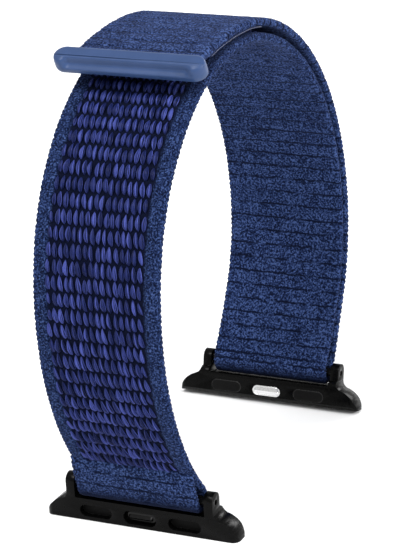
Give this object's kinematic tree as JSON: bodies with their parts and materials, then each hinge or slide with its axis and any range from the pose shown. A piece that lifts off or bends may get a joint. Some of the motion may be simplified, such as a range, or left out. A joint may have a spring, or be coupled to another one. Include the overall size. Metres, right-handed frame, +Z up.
{
  "type": "fitness tracker strap",
  "caption": "Woven hook-and-loop wrist strap closed as a hoop, with an end tab and a sliding lug connector with spring bar and latch at each end.",
  "frame": {"origin": "on the surface the band stands on, under the middle of its bounding box", "axes": "+X along the connectors, +Y from the front connector to the rear one, +Z up through the hoop"},
  "size_m": [0.035, 0.0779, 0.0787],
  "materials": {
    "strap_fabric": "woven navy nylon, matte",
    "loop_pile": "shiny nylon loop tufts",
    "hook_tape": "moulded hook tape",
    "tab_plastic": "satin moulded plastic",
    "lug_metal": "black satin coating",
    "pad_rubber": "black moulded rubber",
    "latch_steel": "polished",
    "cap_black": "gloss black",
    "spring_steel": "drawn wire",
    "bar_steel": "black coated steel"
  },
  "bodies": {
    "strap": {"strap_main_run": "strap_fabric", "front_hem": "strap_fabric", "tail_rear_run": "strap_fabric"},
    "tail_top": {"tail_top_run": "strap_fabric"},
    "tail_end": {"tail_end_run": "strap_fabric", "hook_patch": "hook_tape", "tab_upper_shell": "tab_plastic", "tab_lower_shell": "tab_plastic"},
    "front_connector": {"front_lug": "lug_metal", "front_grip_pad_left": "pad_rubber", "front_grip_pad_right": "pad_rubber", "front_latch_cap": "cap_black", "front_latch_spring": "spring_steel", "front_bar_barrel": "bar_steel", "front_bar_spring": "spring_steel"},
    "front_latch": {"front_latch_button": "latch_steel"},
    "front_plunger_left": {"front_bar_plunger_left": "bar_steel"},
    "front_plunger_right": {"front_bar_plunger_right": "bar_steel"},
    "rear_connector": {"rear_lug": "lug_metal", "rear_grip_pad_left": "pad_rubber", "rear_grip_pad_right": "pad_rubber", "rear_latch_cap": "cap_black", "rear_latch_spring": "spring_steel", "rear_bar_barrel": "bar_steel", "rear_bar_spring": "spring_steel"},
    "rear_latch": {"rear_latch_button": "latch_steel"},
    "rear_plunger_left": {"rear_bar_plunger_left": "bar_steel"},
    "rear_plunger_right": {"rear_bar_plunger_right": "bar_steel"}
  },
  "joints": [
    {"name": "tail_fold_top", "type": "hinge", "parent": "strap", "child": "tail_top", "pos_m": [0, 0.0377, 0.04438], "axis": [-1, 0, 0], "range_deg": [0, 60]},
    {"name": "tail_peel", "type": "hinge", "parent": "tail_top", "child": "tail_end", "pos_m": [0, 0.01228, 0.07523], "axis": [-1, 0, 0], "range_deg": [0, 85]},
    {"name": "front_connector_pivot", "type": "hinge", "parent": "strap", "child": "front_connector", "pos_m": [0, -0.028, 0.0062], "axis": [-1, 0, 0], "range_deg": [-35, 35]},
    {"name": "front_latch_press", "type": "slide", "parent": "front_connector", "child": "front_latch", "axis": [0, -1, 0], "range_m": [0, 0.0007], "stiffness_N_per_m": 600, "springref_m": -0.0006, "deforming": ["front_latch_spring"]},
    {"name": "front_plunger_left_slide", "type": "slide", "parent": "front_connector", "child": "front_plunger_left", "axis": [1, 0, 0], "range_m": [0, 0.0014], "stiffness_N_per_m": 300, "springref_m": -0.002, "deforming": ["front_bar_spring"]},
    {"name": "front_plunger_right_slide", "type": "slide", "parent": "front_connector", "child": "front_plunger_right", "axis": [-1, 0, 0], "range_m": [0, 0.0014], "stiffness_N_per_m": 300, "springref_m": -0.002, "deforming": ["front_bar_spring"]},
    {"name": "rear_connector_pivot", "type": "hinge", "parent": "strap", "child": "rear_connector", "pos_m": [0, 0.02606, 0.00637], "axis": [1, 0, 0], "range_deg": [-35, 35]},
    {"name": "rear_latch_press", "type": "slide", "parent": "rear_connector", "child": "rear_latch", "axis": [0, 0.9703, -0.2419], "range_m": [0, 0.0007], "stiffness_N_per_m": 600, "springref_m": -0.0006, "deforming": ["rear_latch_spring"]},
    {"name": "rear_plunger_left_slide", "type": "slide", "parent": "rear_connector", "child": "rear_plunger_left", "axis": [1, 0, 0], "range_m": [0, 0.0014], "stiffness_N_per_m": 300, "springref_m": -0.002, "deforming": ["rear_bar_spring"]},
    {"name": "rear_plunger_right_slide", "type": "slide", "parent": "rear_connector", "child": "rear_plunger_right", "axis": [-1, 0, 0], "range_m": [0, 0.0014], "stiffness_N_per_m": 300, "springref_m": -0.002, "deforming": ["rear_bar_spring"]}
  ]
}
